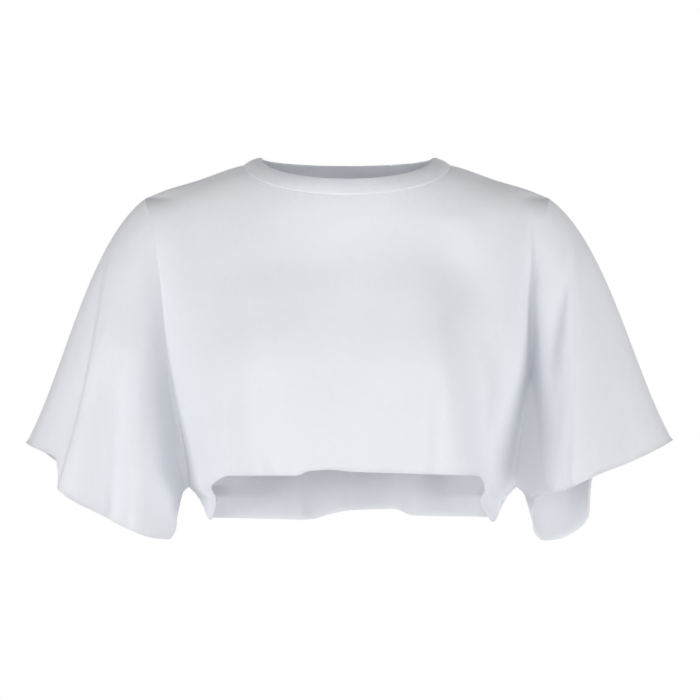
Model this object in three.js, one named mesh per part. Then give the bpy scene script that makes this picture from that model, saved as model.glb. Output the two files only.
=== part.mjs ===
// A cropped, oversized T-shirt as it hangs on a wearer: front, back, two wide sleeves and a ribbed neckband.
// Millimetres, +Z up, the front faces -Y. The origin is the middle of the neck opening, at the height where
// the shoulder seams meet the neckband.
import * as THREE from "three";

// ---- Driving sizes ----
const CLOTH = 1.6; // wall of the jersey panels
const RIB = 2.4; // wall of the doubled rib
const SEAM_GAP = 0.5; // clearance between two sewn pieces, which the facets narrow to about 0.3
const NECK = { halfWidth: 108, frontDrop: 32, backDrop: 20 };
const BAND = { halfWidth: 90, sideRise: 8, frontDrop: 15, backDrop: -0.5, frontDepth: 57, backDepth: 51 };
const LEAN = 6; // the body hangs this far to +X at its hem
const SIDE_HEM = { x: 160, z: -348 }; // half the width between the side seams at the hem, and its height

// ---- Mesh density ----
const COLUMNS = 28; // across a body panel
const NECK_COLUMNS = 8; // of those, on each side of the middle, that end at the neckband
const ARMHOLE_ROWS = 20; // down an armhole
const SIDE_SEAM_ROWS = 1; // from the underarm to the hem
const STATIONS = 10; // along a sleeve
const BAND_ROWS = 2; // up the neckband

// ---- Form: tables of sections ----
// The shoulder line from the middle of the neck to the top of the armhole.
const SHOULDER = [
  { x: 0, z: 8 },
  { x: 60, z: 6 },
  { x: 108, z: 0 },
  { x: 157, z: -16 },
  { x: 190, z: -26 },
  { x: 212, z: -35 },
];

// The armhole seam from the shoulder point to the underarm: half the distance across, and how far it lies
// in front of and behind the shoulder line.
const ARMHOLE = [
  { z: -35, x: 212, front: 0, back: 0 },
  { z: -42, x: 210, front: 23, back: 22 },
  { z: -60, x: 205, front: 37, back: 36 },
  { z: -90, x: 200, front: 45, back: 44 },
  { z: -140, x: 195, front: 47, back: 49 },
  { z: -200, x: 191, front: 44, back: 48 },
  { z: -260, x: 182, front: 31, back: 36 },
  { z: -300, x: 175, front: 20, back: 24 },
  { z: -326, x: 172, front: 11, back: 11 },
  { z: -336, x: 172, front: 0, back: 0 },
];

// How far the body stands out from the shoulder line, at each drop below it: in the middle, over the bust or
// shoulder blade, and at the flank.
const ACROSS = { middle: 0, blade: 0.45, flank: 0.8, seam: 1 };
const FRONT_FORM = [
  { drop: 0, middle: 0, blade: 0, flank: 0 },
  { drop: 5, middle: 25, blade: 23, flank: 18 },
  { drop: 12, middle: 42, blade: 38, flank: 30 },
  { drop: 25, middle: 58, blade: 53, flank: 43 },
  { drop: 50, middle: 73, blade: 70, flank: 56 },
  { drop: 100, middle: 89, blade: 91, flank: 72 },
  { drop: 150, middle: 105, blade: 111, flank: 83 },
  { drop: 215, middle: 118, blade: 124, flank: 90 },
  { drop: 260, middle: 117, blade: 121, flank: 90 },
  { drop: 330, middle: 108, blade: 111, flank: 86 },
  { drop: 390, middle: 102, blade: 105, flank: 82 },
];
const BACK_FORM = [
  { drop: 0, middle: 0, blade: 0, flank: 0 },
  { drop: 5, middle: 30, blade: 26, flank: 17 },
  { drop: 12, middle: 46, blade: 41, flank: 28 },
  { drop: 25, middle: 60, blade: 55, flank: 39 },
  { drop: 50, middle: 73, blade: 72, flank: 52 },
  { drop: 100, middle: 86, blade: 89, flank: 68 },
  { drop: 150, middle: 91, blade: 96, flank: 77 },
  { drop: 215, middle: 92, blade: 97, flank: 82 },
  { drop: 300, middle: 92, blade: 95, flank: 82 },
  { drop: 390, middle: 91, blade: 93, flank: 80 },
];

// The hems of the body, from one side seam to the other: share of the width, place across and height.
const FRONT_HEM = [
  { share: -1, x: -154, z: -347 },
  { share: -0.929, x: -151, z: -351 },
  { share: -0.857, x: -142, z: -371 },
  { share: -0.786, x: -130, z: -334 },
  { share: -0.714, x: -113, z: -323.5 },
  { share: -0.357, x: -48, z: -323 },
  { share: -0.286, x: -37, z: -318.5 },
  { share: -0.143, x: -16, z: -317 },
  { share: 0.0, x: 5, z: -319 },
  { share: 0.286, x: 48, z: -320.5 },
  { share: 0.714, x: 112, z: -323 },
  { share: 0.786, x: 128, z: -325 },
  { share: 0.857, x: 143, z: -360 },
  { share: 0.9, x: 152, z: -373 },
  { share: 0.95, x: 162, z: -354 },
  { share: 1, x: 166, z: -349 },
];
const BACK_HEM = [
  { share: -1, x: -154, z: -347 },
  { share: -0.929, x: -149, z: -358 },
  { share: -0.857, x: -143, z: -370 },
  { share: -0.3, x: -41, z: -373 },
  { share: -0.143, x: -16, z: -367 },
  { share: 0.0, x: 6, z: -363 },
  { share: 0.286, x: 50, z: -362 },
  { share: 0.4, x: 71, z: -369 },
  { share: 0.857, x: 150, z: -370 },
  { share: 0.929, x: 160, z: -360 },
  { share: 1, x: 166, z: -349 },
];

// The sleeve hems, from the outer corner to the underarm: place across, height, and depth in front or behind.
const SLEEVES = [
  {
    name: "sleeve_right",
    hand: -1,
    front: [
      { x: -336, z: -291, depth: 0 },
      { x: -331, z: -294, depth: 20 },
      { x: -319, z: -299, depth: 36 },
      { x: -303, z: -307, depth: 46 },
      { x: -298, z: -334, depth: 54 },
      { x: -286, z: -347, depth: 63 },
      { x: -262, z: -362, depth: 74 },
      { x: -231, z: -378, depth: 72 },
      { x: -204, z: -389, depth: 58 },
      { x: -188, z: -391, depth: 44 },
      { x: -180, z: -374, depth: 26 },
      { x: -181, z: -359, depth: 12 },
      { x: -184, z: -352, depth: 0 },
    ],
    back: [
      { x: -336, z: -291, depth: 0 },
      { x: -331, z: -294, depth: 20 },
      { x: -321, z: -300, depth: 38 },
      { x: -300, z: -316, depth: 58 },
      { x: -262, z: -338, depth: 74 },
      { x: -225, z: -355, depth: 70 },
      { x: -194, z: -362, depth: 48 },
      { x: -183, z: -359, depth: 16 },
      { x: -184, z: -352, depth: 0 },
    ],
  },
  {
    name: "sleeve_left",
    hand: 1,
    front: [
      { x: 341, z: -288, depth: 0 },
      { x: 336, z: -291, depth: 20 },
      { x: 324, z: -297, depth: 38 },
      { x: 298, z: -309, depth: 58 },
      { x: 268, z: -321, depth: 73 },
      { x: 245, z: -333, depth: 78 },
      { x: 232, z: -339, depth: 74 },
      { x: 218, z: -342, depth: 62 },
      { x: 202, z: -346, depth: 38 },
      { x: 196, z: -351, depth: 14 },
      { x: 197, z: -352, depth: 0 },
    ],
    back: [
      { x: 341, z: -288, depth: 0 },
      { x: 336, z: -291, depth: 20 },
      { x: 322, z: -297, depth: 40 },
      { x: 285, z: -309, depth: 64 },
      { x: 263, z: -320, depth: 73 },
      { x: 257, z: -345, depth: 75 },
      { x: 256, z: -366, depth: 74 },
      { x: 246, z: -381, depth: 69 },
      { x: 222, z: -393, depth: 54 },
      { x: 209, z: -394, depth: 43 },
      { x: 197, z: -379, depth: 26 },
      { x: 196, z: -362, depth: 13 },
      { x: 197, z: -352, depth: 0 },
    ],
  },
];
// The overarm line is a curve from the shoulder point to the outer corner; these bow it out and up.
const OVERARM = { nearOut: 18, nearUp: 40, farOut: 2, farUp: -13, forward: 9 };

// The folds: soft ridges (height above 0) and troughs (below 0), each a line down the cloth, with the width
// of its two flanks.
const FRONT = -1;
const BACK = 1;
const FOLDS = [
  { name: "overarm ridge, right", side: FRONT, rows: [
    { z: -65, x: -232, left: 6, right: 20, height: 0 },
    { z: -188, x: -250, left: 8, right: 30, height: 7 },
    { z: -337, x: -288, left: 10, right: 26, height: 12 },
  ] },
  { name: "sleeve trough, right", side: FRONT, rows: [
    { z: -180, x: -232, left: 18, right: 14, height: 0 },
    { z: -260, x: -238, left: 24, right: 16, height: -8 },
    { z: -390, x: -244, left: 26, right: 18, height: -13 },
  ] },
  { name: "armhole trough, right", side: FRONT, rows: [
    { z: -70, x: -205, left: 8, right: 8, height: 0 },
    { z: -180, x: -192, left: 14, right: 10, height: -4 },
    { z: -340, x: -172, left: 18, right: 12, height: -8 },
  ] },
  { name: "flank crease, left", side: FRONT, rows: [
    { z: -180, x: 134, left: 12, right: 26, height: 0 },
    { z: -250, x: 138, left: 12, right: 24, height: -10 },
    { z: -323, x: 144, left: 12, right: 22, height: -14 },
    { z: -373, x: 158, left: 8, right: 20, height: -10 },
  ] },
  { name: "waist trough, right", side: FRONT, rows: [
    { z: -205, x: -96, left: 16, right: 18, height: 0 },
    { z: -277, x: -83, left: 16, right: 22, height: -5 },
    { z: -325, x: -70, left: 16, right: 24, height: -7 },
  ] },
  { name: "armhole trough, left", side: FRONT, rows: [
    { z: -45, x: 192, left: 6, right: 6, height: 0 },
    { z: -141, x: 191, left: 7, right: 9, height: -9 },
    { z: -246, x: 188, left: 12, right: 16, height: -14 },
    { z: -345, x: 180, left: 14, right: 16, height: -12 },
  ] },
  { name: "sleeve trough, left", side: FRONT, rows: [
    { z: -75, x: 230, left: 12, right: 12, height: 0 },
    { z: -180, x: 222, left: 16, right: 16, height: -9 },
    { z: -260, x: 218, left: 20, right: 20, height: -19 },
    { z: -345, x: 212, left: 22, right: 22, height: -26 },
  ] },
  { name: "sleeve lap, left", side: FRONT, rows: [
    { z: -75, x: 246, left: 12, right: 16, height: 0 },
    { z: -200, x: 250, left: 14, right: 24, height: 6 },
    { z: -340, x: 254, left: 18, right: 36, height: 10 },
  ] },
  { name: "middle back trough, right", side: BACK, rows: [
    { z: -150, x: -70, left: 22, right: 16, height: 0 },
    { z: -260, x: -62, left: 22, right: 16, height: -7 },
    { z: -373, x: -54, left: 24, right: 18, height: -11 },
  ] },
  { name: "middle back trough, left", side: BACK, rows: [
    { z: -170, x: 88, left: 14, right: 22, height: 0 },
    { z: -280, x: 80, left: 16, right: 24, height: -6 },
    { z: -373, x: 74, left: 16, right: 26, height: -10 },
  ] },
  { name: "armhole trough, back right", side: BACK, rows: [
    { z: -60, x: -198, left: 10, right: 8, height: 0 },
    { z: -200, x: -190, left: 14, right: 10, height: -8 },
    { z: -345, x: -176, left: 16, right: 12, height: -10 },
  ] },
  { name: "armhole trough, back left", side: BACK, rows: [
    { z: -60, x: 200, left: 8, right: 10, height: 0 },
    { z: -200, x: 192, left: 10, right: 14, height: -7 },
    { z: -345, x: 180, left: 12, right: 16, height: -10 },
  ] },
  { name: "sleeve trough, back right", side: BACK, rows: [
    { z: -110, x: -238, left: 10, right: 10, height: 0 },
    { z: -230, x: -252, left: 14, right: 18, height: -12 },
    { z: -360, x: -268, left: 16, right: 22, height: -18 },
  ] },
  { name: "sleeve trough, back left", side: BACK, rows: [
    { z: -100, x: 234, left: 10, right: 10, height: 0 },
    { z: -230, x: 250, left: 20, right: 14, height: -11 },
    { z: -390, x: 262, left: 24, right: 14, height: -18 },
  ] },
];
const FOLD_FADE = 26; // a fold dies out where the form is shallower than this
const LEAST_SHARE = 0.22; // a trough leaves at least this share of the form's depth

// ---- Interpolation ----
// A smooth curve without overshoot through the points (at, value), as a function.
function curve(at, value) {
  const n = at.length;
  const step = at.slice(1).map((a, i) => (value[i + 1] - value[i]) / (a - at[i]));
  const slope = value.map((_, i) => {
    if (i === 0) return step[0];
    if (i === n - 1) return step[n - 2];
    return step[i - 1] * step[i] <= 0 ? 0 : (2 * step[i - 1] * step[i]) / (step[i - 1] + step[i]);
  });
  return (a) => {
    if (a <= at[0]) return value[0];
    if (a >= at[n - 1]) return value[n - 1];
    let i = 0;
    while (a > at[i + 1]) i += 1;
    const width = at[i + 1] - at[i];
    const t = (a - at[i]) / width;
    const u = 1 - t;
    return (
      value[i] * (1 + 2 * t) * u * u +
      value[i + 1] * (1 + 2 * u) * t * t +
      slope[i] * width * t * u * u -
      slope[i + 1] * width * u * t * t
    );
  };
}

// One curve for each named column of a table, over a function of the row.
function columns(rows, at, names) {
  const sorted = [...rows].sort((a, b) => at(a) - at(b));
  const along = sorted.map(at);
  return Object.fromEntries(names.map((name) => [name, curve(along, sorted.map((row) => row[name]))]));
}

const mix = (a, b, t) => a + (b - a) * t;
const smooth = (t) => {
  const c = Math.min(1, Math.max(0, t));
  return c * c * (3 - 2 * c);
};

// ---- The form ----
const SHOULDER_TIP = SHOULDER.at(-1);
const UNDERARM = ARMHOLE.at(-1);
const shoulder = columns(SHOULDER, (row) => row.x, ["z"]);
const shoulderHeight = (x) => shoulder.z(Math.abs(x));

// Angle down an armhole, from 0 at the shoulder point to pi at the underarm, so that both ends are round.
const armholeTurn = (z) => {
  const share = (SHOULDER_TIP.z - z) / (SHOULDER_TIP.z - UNDERARM.z);
  return Math.acos(1 - 2 * Math.min(1, Math.max(0, share)));
};
const armhole = columns(ARMHOLE, (row) => armholeTurn(row.z), ["x", "front", "back"]);
const formColumns = ["middle", "blade", "flank"];
const bodyForm = {
  [FRONT]: columns(FRONT_FORM, (row) => Math.sqrt(row.drop), formColumns),
  [BACK]: columns(BACK_FORM, (row) => Math.sqrt(row.drop), formColumns),
};
const folds = FOLDS.map(({ side, rows }) => ({
  side,
  top: Math.max(...rows.map((row) => row.z)),
  ...columns(rows, (row) => row.z, ["x", "left", "right", "height"]),
}));

const lean = (z) => LEAN * smooth(z / UNDERARM.z);

// Half the body's width at a height, between the armholes and then between the side seams.
function halfWidth(z) {
  if (z >= UNDERARM.z) return armhole.x(armholeTurn(z));
  return mix(UNDERARM.x, SIDE_HEM.x, Math.min(1, (z - UNDERARM.z) / (SIDE_HEM.z - UNDERARM.z)));
}

// The depth of the smooth body at a share of its width and a height.
function bodyDepth(side, share, x, z) {
  const drop = Math.sqrt(Math.max(0, shoulderHeight(x - lean(z)) - z));
  const form = bodyForm[side];
  const seam = side === FRONT ? armhole.front(armholeTurn(z)) : armhole.back(armholeTurn(z));
  const across = [form.middle(drop), form.blade(drop), form.flank(drop), seam];
  const mirrored = [...across.slice(1).reverse(), ...across];
  const places = Object.values(ACROSS);
  const at = [...places.slice(1).reverse().map((place) => -place), ...places];
  return curve(at, mirrored)(share);
}

// A point of the smooth form, moved in or out by the folds that cross it.
function folded(side, { x, y, z }) {
  const depth = Math.abs(y);
  let height = 0;
  for (const fold of folds) {
    if (fold.side !== side || z > fold.top) continue;
    const off = x - fold.x(z);
    const flank = off < 0 ? fold.left(z) : fold.right(z);
    height += fold.height(z) * Math.exp(-((off / flank) ** 2));
  }
  const fade = smooth(depth / FOLD_FADE);
  return new THREE.Vector3(x, side * Math.max(depth + fade * height, LEAST_SHARE * depth), z);
}

// ---- The pieces as grids of points on the middle of their cloth ----
// Shares of the way down, closer together at the shoulder and the underarm.
const rowShares = Array.from({ length: ARMHOLE_ROWS + 1 }, (_, k) => {
  const t = k / ARMHOLE_ROWS;
  return mix((1 - Math.cos(Math.PI * t)) / 2, t, 0.4);
});

function bodyGrid(side) {
  const hem = columns(side === FRONT ? FRONT_HEM : BACK_HEM, (row) => row.share, ["x", "z"]);
  const neckDrop = side === FRONT ? NECK.frontDrop : NECK.backDrop;
  const neckShare = NECK_COLUMNS / (COLUMNS / 2);
  const grid = [];
  for (let k = 0; k <= ARMHOLE_ROWS + SIDE_SEAM_ROWS; k += 1) {
    const row = [];
    for (let j = 0; j <= COLUMNS; j += 1) {
      const u = (2 * j) / COLUMNS - 1;
      const size = Math.abs(u);
      const turn = ((Math.PI / 2) * u) / neckShare;
      const onNeck = size <= neckShare + 1e-9;
      const topX = onNeck
        ? NECK.halfWidth * Math.sin(turn)
        : Math.sign(u) * mix(NECK.halfWidth, SHOULDER_TIP.x, (size - neckShare) / (1 - neckShare));
      const topZ = onNeck ? -neckDrop * Math.max(0, Math.cos(turn)) : shoulderHeight(topX);
      const hemZ = hem.z(u);
      const underarmShare = (UNDERARM.z - SHOULDER_TIP.z) / (hem.z(Math.sign(u) || 1) - SHOULDER_TIP.z);
      const down =
        k <= ARMHOLE_ROWS
          ? rowShares[k] * underarmShare
          : mix(underarmShare, 1, (k - ARMHOLE_ROWS) / SIDE_SEAM_ROWS);
      const z = mix(topZ, hemZ, down);
      const topShare = topX / halfWidth(topZ);
      const hemShare = (hem.x(u) - lean(hemZ)) / SIDE_HEM.x;
      const share = mix(topShare, hemShare, smooth(down));
      const x = share * halfWidth(z) + lean(z);
      row.push(new THREE.Vector3(x, side * bodyDepth(side, share, x, z), z));
    }
    grid.push(row);
  }
  return grid;
}

// A point at a share of the length of a line of points.
function along(points, share) {
  const reach = [0];
  for (let i = 1; i < points.length; i += 1) reach.push(reach[i - 1] + points[i].distanceTo(points[i - 1]));
  const total = reach.at(-1);
  const at = reach.map((r) => r / total);
  const part = (key) => curve(at, points.map((p) => p[key]))(share);
  return new THREE.Vector3(part("x"), part("y"), part("z"));
}

// One half of a sleeve, from the armhole to the hem: rows are stations, columns go from overarm to underarm.
function halfSleeve(sleeve, side, edge) {
  const hem = (side === FRONT ? sleeve.front : sleeve.back).map(
    ({ x, z, depth }) => new THREE.Vector3(x, side * depth, z),
  );
  return Array.from({ length: STATIONS + 1 }, (_, m) => {
    const t = m / STATIONS;
    return edge.map((start, k) => {
      if (m === 0) return start.clone();
      const turn = (Math.PI * k) / ARMHOLE_ROWS;
      const end = along(hem, k / ARMHOLE_ROWS);
      const weight = ((1 + Math.cos(turn)) / 2) ** 2;
      const near = new THREE.Vector3().lerpVectors(start, end, 1 / 3);
      near.x += sleeve.hand * OVERARM.nearOut * weight;
      near.z += OVERARM.nearUp * weight;
      near.y += side * OVERARM.forward * Math.sin(turn);
      const far = new THREE.Vector3().lerpVectors(start, end, 2 / 3);
      far.x += sleeve.hand * OVERARM.farOut * weight;
      far.z += OVERARM.farUp * weight;
      far.y += side * OVERARM.forward * Math.sin(turn);
      return new THREE.CubicBezierCurve3(start, near, far, end).getPoint(t);
    });
  });
}

const foldGrid = (side, grid) => grid.map((row) => row.map((p) => folded(side, p)));
const smoothFront = bodyGrid(FRONT);
const smoothBack = bodyGrid(BACK);
const frontGrid = foldGrid(FRONT, smoothFront);
const backGrid = foldGrid(BACK, smoothBack);

function sleeveGrid(sleeve) {
  const j = sleeve.hand < 0 ? 0 : COLUMNS;
  const edge = (grid) => grid.slice(0, ARMHOLE_ROWS + 1).map((row) => row[j]);
  const front = foldGrid(FRONT, halfSleeve(sleeve, FRONT, edge(smoothFront)));
  const back = foldGrid(BACK, halfSleeve(sleeve, BACK, edge(smoothBack)));
  return front.map((row, m) => [...row, ...back[m].slice(1, -1).reverse()]);
}

function bandGrid() {
  const first = COLUMNS / 2 - NECK_COLUMNS;
  const last = COLUMNS / 2 + NECK_COLUMNS;
  const seam = [
    ...frontGrid[0].slice(first, last + 1),
    ...backGrid[0].slice(first + 1, last).reverse(),
  ];
  const turns = seam.length;
  const top = seam.map((_, i) => {
    const turn = (2 * Math.PI * i) / turns; // 0 at the -X side, a quarter at the front
    const front = Math.sin(turn) >= 0;
    const drop = BAND.sideRise + (front ? BAND.frontDrop : BAND.backDrop);
    return new THREE.Vector3(
      -BAND.halfWidth * Math.cos(turn),
      -(front ? BAND.frontDepth : BAND.backDepth) * Math.sin(turn),
      BAND.sideRise - drop * Math.abs(Math.sin(turn)),
    );
  });
  return Array.from({ length: BAND_ROWS + 1 }, (_, m) =>
    seam.map((p, i) => new THREE.Vector3().lerpVectors(p, top[i], m / BAND_ROWS)),
  );
}

// ---- From grids to walls of cloth ----
// outward is 1 where rows cross columns facing out, and -1 where they face in; seams are the edges that are
// sewn to another piece.
const pieces = [
  { name: "front", grid: frontGrid, outward: 1, wall: CLOTH, seams: ["first", "left", "right"] },
  { name: "back", grid: backGrid, outward: -1, wall: CLOTH, seams: ["first", "left", "right"] },
  ...SLEEVES.map((sleeve) => ({
    name: sleeve.name,
    grid: sleeveGrid(sleeve),
    outward: -sleeve.hand,
    wall: CLOTH,
    closed: true,
    seams: ["first"],
  })),
  { name: "neckband", grid: bandGrid(), outward: -1, wall: RIB, closed: true, seams: ["first"] },
];

const key = (p) => [p.x, p.y, p.z].map((v) => Math.round(v * 1000)).join();

function gridFaces({ grid, closed }) {
  const wide = grid[0].length;
  const faces = [];
  for (let k = 0; k + 1 < grid.length; k += 1) {
    for (let j = 0; j < (closed ? wide : wide - 1); j += 1) {
      const a = k * wide + j;
      const b = k * wide + ((j + 1) % wide);
      faces.push([a, a + wide, b], [b, a + wide, b + wide]);
    }
  }
  return faces;
}

// Normals that sewn pieces share, so that their edges are parallel.
const shared = new Map();
for (const piece of pieces) {
  const points = piece.grid.flat();
  piece.normals = points.map(() => new THREE.Vector3());
  for (const [a, b, c] of gridFaces(piece)) {
    const normal = new THREE.Vector3()
      .subVectors(points[b], points[a])
      .cross(new THREE.Vector3().subVectors(points[c], points[a]))
      .multiplyScalar(piece.outward);
    for (const i of [a, b, c]) piece.normals[i].add(normal);
  }
  points.forEach((p, i) => {
    const unit = piece.normals[i].clone().normalize();
    const at = key(p);
    if (!shared.has(at)) shared.set(at, new THREE.Vector3());
    shared.get(at).add(unit);
  });
}

function insetEdge(piece, shift, edge, inner, closed) {
  const points = piece.grid.flat();
  edge.forEach((i, n) => {
    const last = edge.length - 1;
    const before = n > 0 ? edge[n - 1] : closed ? edge[last] : i;
    const after = n < last ? edge[n + 1] : closed ? edge[0] : i;
    const tangent = new THREE.Vector3().subVectors(points[after], points[before]);
    const aside = new THREE.Vector3().crossVectors(piece.units[i], tangent).normalize();
    const inwards = new THREE.Vector3().subVectors(points[inner[n]], points[i]);
    shift[i].addScaledVector(aside, (Math.sign(aside.dot(inwards)) * SEAM_GAP) / 2);
  });
}

function wallOf(piece) {
  const points = piece.grid.flat();
  const wide = piece.grid[0].length;
  const high = piece.grid.length;
  const at = (k, j) => k * wide + j;
  piece.units = points.map((p) => shared.get(key(p)).clone().normalize());
  const shift = points.map(() => new THREE.Vector3());
  const acrossIndex = [...Array(wide).keys()];
  const downIndex = [...Array(high).keys()];
  const edges = {
    first: [acrossIndex.map((j) => at(0, j)), acrossIndex.map((j) => at(1, j))],
    left: [downIndex.map((k) => at(k, 0)), downIndex.map((k) => at(k, 1))],
    right: [downIndex.map((k) => at(k, wide - 1)), downIndex.map((k) => at(k, wide - 2))],
  };
  for (const seam of piece.seams) insetEdge(piece, shift, ...edges[seam], piece.closed);

  const half = piece.wall / 2;
  const outer = points.map((p, i) => p.clone().add(shift[i]).addScaledVector(piece.units[i], half));
  const inner = points.map((p, i) => p.clone().add(shift[i]).addScaledVector(piece.units[i], -half));
  const count = points.length;
  const index = [];
  const add = (a, b, c) => index.push(...(piece.outward > 0 ? [a, b, c] : [a, c, b]));
  for (const [a, b, c] of gridFaces(piece)) {
    add(a, b, c);
    add(a + count, c + count, b + count);
  }
  const rim = (loop) => {
    for (let n = 0; n + 1 < loop.length; n += 1) {
      const [a, b] = [loop[n], loop[n + 1]];
      add(a, b, b + count);
      add(a, b + count, a + count);
    }
  };
  if (piece.closed) {
    rim([...acrossIndex, 0].map((j) => at(0, j)));
    rim([...acrossIndex, 0].map((j) => at(high - 1, j)).reverse());
  } else {
    rim([
      ...acrossIndex.map((j) => at(0, j)),
      ...downIndex.slice(1).map((k) => at(k, wide - 1)),
      ...acrossIndex.slice(0, -1).reverse().map((j) => at(high - 1, j)),
      ...downIndex.slice(0, -1).reverse().map((k) => at(k, 0)),
    ]);
  }
  const geometry = new THREE.BufferGeometry();
  const positions = [...outer, ...inner].flatMap((p) => [p.x, p.y, p.z]);
  geometry.setAttribute("position", new THREE.Float32BufferAttribute(positions, 3));
  geometry.setIndex(index);
  geometry.computeVertexNormals();
  return geometry;
}

const jersey = new THREE.MeshStandardMaterial({ color: "#eceef2", roughness: 0.9, metalness: 0, name: "jersey" });
const rib = new THREE.MeshStandardMaterial({ color: "#eceef2", roughness: 0.92, metalness: 0, name: "rib" });

const shirt = new THREE.Group();
for (const piece of pieces) {
  const mesh = new THREE.Mesh(wallOf(piece), piece.name === "neckband" ? rib : jersey);
  mesh.name = piece.name;
  shirt.add(mesh);
}

export default shirt;
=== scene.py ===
"""An oversized, cropped white T-shirt in worn, hollow form: cloth, ribbed neckband, stitching and studio."""

import logging
import math
from dataclasses import dataclass, field
from enum import Enum
from typing import Any, Callable, NamedTuple, Sequence

import bpy
import numpy as np
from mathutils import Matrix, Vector


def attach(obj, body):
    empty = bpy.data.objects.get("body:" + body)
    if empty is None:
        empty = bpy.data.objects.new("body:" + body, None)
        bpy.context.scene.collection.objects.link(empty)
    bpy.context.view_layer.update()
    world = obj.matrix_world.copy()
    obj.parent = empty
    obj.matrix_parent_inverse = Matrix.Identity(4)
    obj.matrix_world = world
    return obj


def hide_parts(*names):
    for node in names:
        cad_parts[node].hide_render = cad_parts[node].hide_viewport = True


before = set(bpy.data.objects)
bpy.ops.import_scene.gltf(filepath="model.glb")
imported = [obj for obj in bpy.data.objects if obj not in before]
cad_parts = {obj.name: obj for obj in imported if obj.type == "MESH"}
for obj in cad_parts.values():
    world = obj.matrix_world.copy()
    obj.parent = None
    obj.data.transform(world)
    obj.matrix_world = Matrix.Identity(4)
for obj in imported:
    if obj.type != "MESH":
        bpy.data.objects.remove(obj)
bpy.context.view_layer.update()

log = logging.getLogger("t_shirt")
logging.basicConfig(level=logging.INFO, format="%(name)s: %(message)s")

Array = np.ndarray
MM = 0.001  # the tables below are in millimetres
MICRON = 0.001 * MM
TINY = 1e-12
MIDDLE = (0.00315, 0.0, -0.1932)  # the middle of the shirt, which the camera and most lamps face


class Side(Enum):
    """The two faces of the garment, by the way that each one points along Y."""

    FRONT = -1
    BACK = 1


class Edge(Enum):
    """An edge of a panel's grid of points."""

    TOP = "top"
    LEFT = "left"
    RIGHT = "right"


# ---- Tables of the form, in millimetres ----
class LineRow(NamedTuple):
    """A point of the shoulder line."""

    x: float
    z: float


class ArmholeRow(NamedTuple):
    """A height on the armhole seam: its place across, and its depth in front of and behind the shoulder."""

    z: float
    x: float
    front: float
    back: float


class FormRow(NamedTuple):
    """How far the body stands out at a drop below the shoulder line: middle, blade and flank."""

    drop: float
    middle: float
    blade: float
    flank: float


class HemRow(NamedTuple):
    """A point of the body's hem, at a share of its width."""

    share: float
    x: float
    z: float


class CuffRow(NamedTuple):
    """A point of a sleeve's hem, from the outer corner to the underarm."""

    x: float
    z: float
    depth: float


class FoldRow(NamedTuple):
    """A place on a fold: where its line lies, its two flanks, its height and how far its crest leans over."""

    z: float
    x: float
    left: float
    right: float
    height: float
    reach: float = 0.0


SHOULDER = (
    LineRow(0, 8),
    LineRow(60, 6),
    LineRow(108, 0),
    LineRow(157, -16),
    LineRow(190, -26),
    LineRow(212, -35),
)
ARMHOLE = (
    ArmholeRow(-35, 212, 0, 0),
    ArmholeRow(-42, 210, 23, 22),
    ArmholeRow(-60, 205, 37, 36),
    ArmholeRow(-90, 200, 45, 44),
    ArmholeRow(-140, 195, 47, 49),
    ArmholeRow(-200, 191, 44, 48),
    ArmholeRow(-260, 182, 31, 36),
    ArmholeRow(-300, 175, 20, 24),
    ArmholeRow(-326, 172, 11, 11),
    ArmholeRow(-336, 172, 0, 0),
)
FRONT_FORM = (
    FormRow(0, 0, 0, 0),
    FormRow(5, 25, 23, 18),
    FormRow(12, 42, 38, 30),
    FormRow(25, 58, 53, 43),
    FormRow(50, 73, 70, 56),
    FormRow(100, 89, 91, 72),
    FormRow(150, 105, 111, 83),
    FormRow(215, 118, 124, 90),
    FormRow(260, 117, 121, 90),
    FormRow(330, 108, 111, 86),
    FormRow(390, 102, 105, 82),
)
BACK_FORM = (
    FormRow(0, 0, 0, 0),
    FormRow(5, 30, 26, 17),
    FormRow(12, 46, 41, 28),
    FormRow(25, 60, 55, 39),
    FormRow(50, 73, 72, 52),
    FormRow(100, 86, 89, 68),
    FormRow(150, 91, 96, 77),
    FormRow(215, 92, 97, 82),
    FormRow(300, 92, 95, 82),
    FormRow(390, 91, 93, 80),
)
FRONT_HEM = (
    HemRow(-1, -154, -347),
    HemRow(-0.929, -151, -351),
    HemRow(-0.857, -142, -371),
    HemRow(-0.786, -130, -334),
    HemRow(-0.714, -113, -323.5),
    HemRow(-0.357, -48, -323),
    HemRow(-0.286, -37, -318.5),
    HemRow(-0.143, -16, -317),
    HemRow(0, 5, -319),
    HemRow(0.286, 48, -320.5),
    HemRow(0.714, 112, -323),
    HemRow(0.786, 128, -325),
    HemRow(0.857, 143, -360),
    HemRow(0.9, 152, -373),
    HemRow(0.95, 162, -354),
    HemRow(1, 166, -349),
)
BACK_HEM = (
    HemRow(-1, -154, -347),
    HemRow(-0.929, -149, -358),
    HemRow(-0.857, -143, -370),
    HemRow(-0.3, -41, -373),
    HemRow(-0.143, -16, -367),
    HemRow(0, 6, -363),
    HemRow(0.286, 50, -362),
    HemRow(0.4, 71, -369),
    HemRow(0.857, 150, -370),
    HemRow(0.929, 160, -360),
    HemRow(1, 166, -349),
)
RIGHT_CUFF_FRONT = (
    CuffRow(-336, -291, 0),
    CuffRow(-331, -294, 20),
    CuffRow(-319, -299, 36),
    CuffRow(-303, -307, 46),
    CuffRow(-298, -334, 54),
    CuffRow(-286, -347, 63),
    CuffRow(-262, -362, 74),
    CuffRow(-231, -378, 72),
    CuffRow(-204, -389, 58),
    CuffRow(-188, -391, 44),
    CuffRow(-180, -374, 26),
    CuffRow(-181, -359, 12),
    CuffRow(-184, -352, 0),
)
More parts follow.
